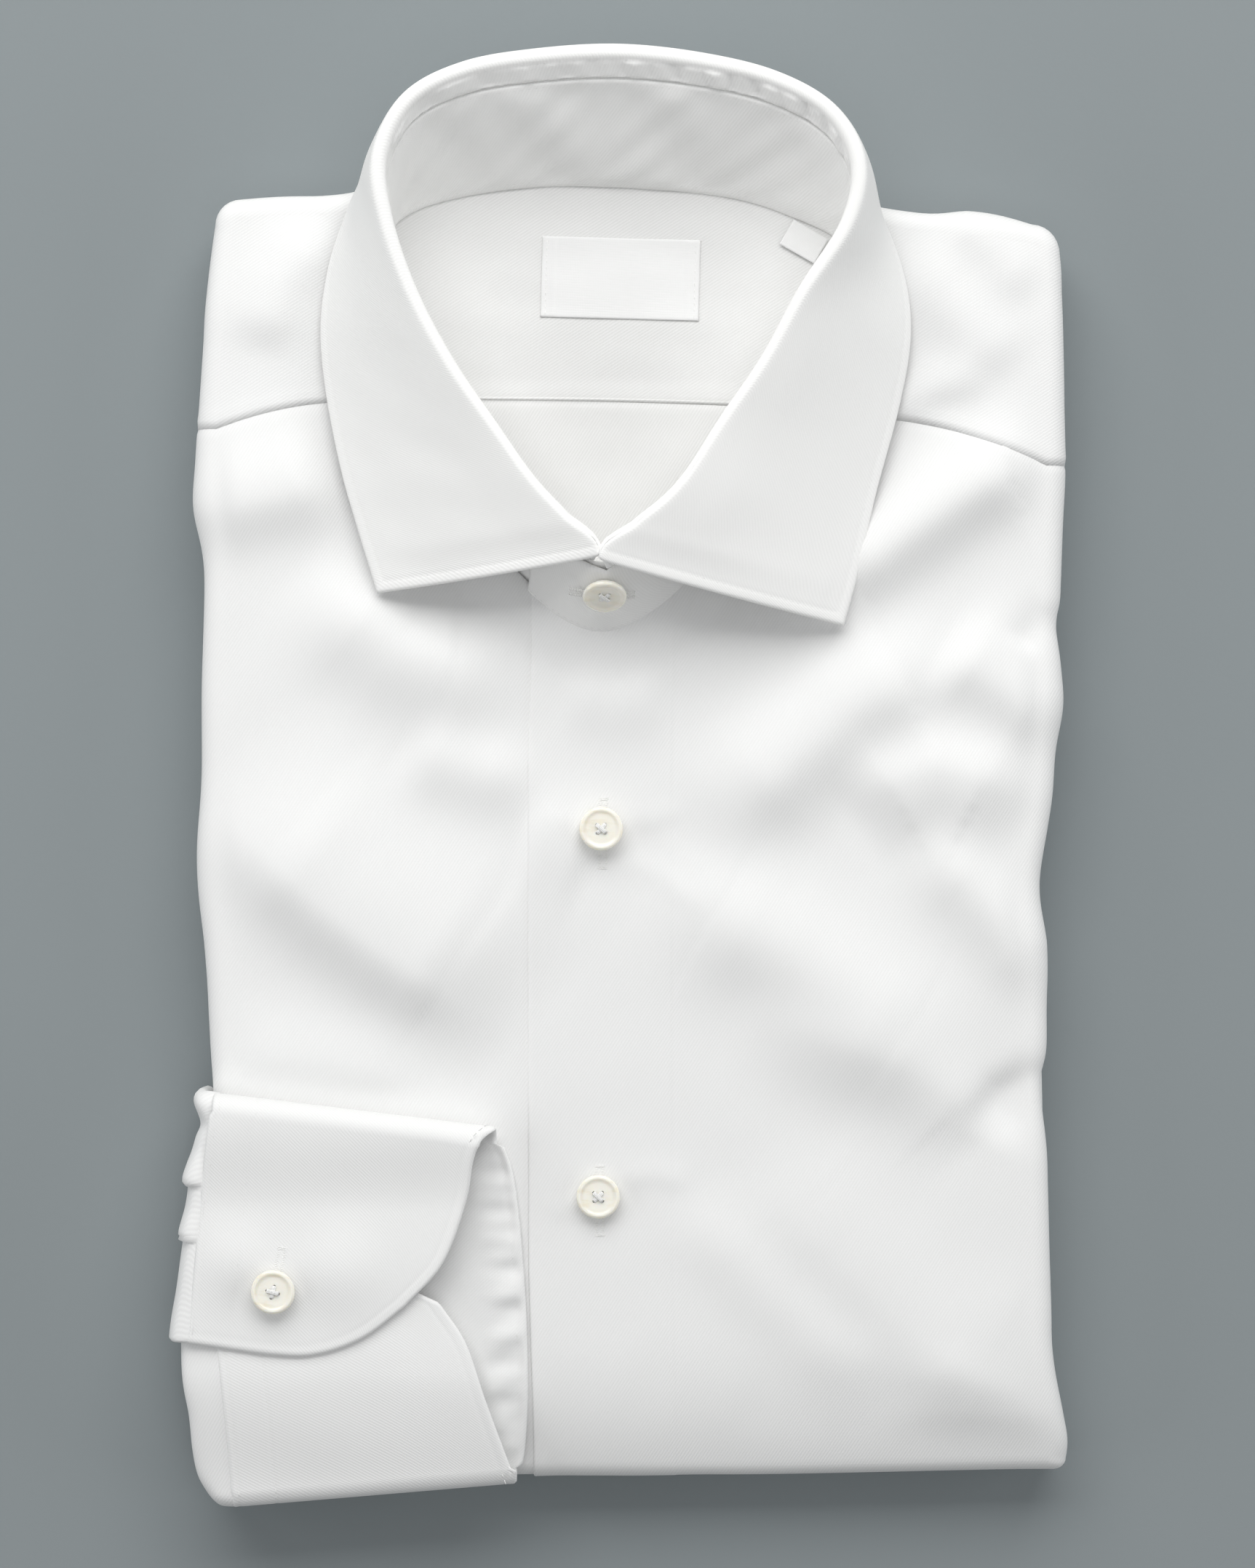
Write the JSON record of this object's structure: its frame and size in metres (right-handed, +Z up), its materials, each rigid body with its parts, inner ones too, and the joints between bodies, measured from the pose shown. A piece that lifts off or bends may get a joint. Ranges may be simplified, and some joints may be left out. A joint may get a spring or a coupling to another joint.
{
  "type": "folded dress shirt",
  "caption": "Long-sleeved button-front dress shirt folded into a flat rectangle, fronts up, its spread collar standing in a ring and a buttoned cuff laid on the front.",
  "frame": {"origin": "middle of the flat underside of the folded pile", "axes": "+Y from the hem fold to the collar, +Z up out of the fronts, +X to the viewer's right (the wearer's left)"},
  "size_m": [0.2354, 0.3788, 0.0527],
  "materials": {
    "shirt_cloth": "fine white twill",
    "shell_button": "polished shell",
    "label_cloth": "smooth woven tape"
  },
  "bodies": {
    "root": {"hidden_layers": "shirt_cloth", "front_right": "shirt_cloth", "front_left": "shirt_cloth", "yoke": "shirt_cloth", "yoke_lining": "shirt_cloth", "back": "shirt_cloth", "collar_stand": "shirt_cloth", "collar_fall": "shirt_cloth", "cuff_right": "shirt_cloth", "sleeve_right": "shirt_cloth", "button_collar": "shell_button", "button_front_1": "shell_button", "button_front_2": "shell_button", "button_cuff": "shell_button", "neck_label": "label_cloth", "size_tab": "label_cloth"}
  },
  "joints": []
}
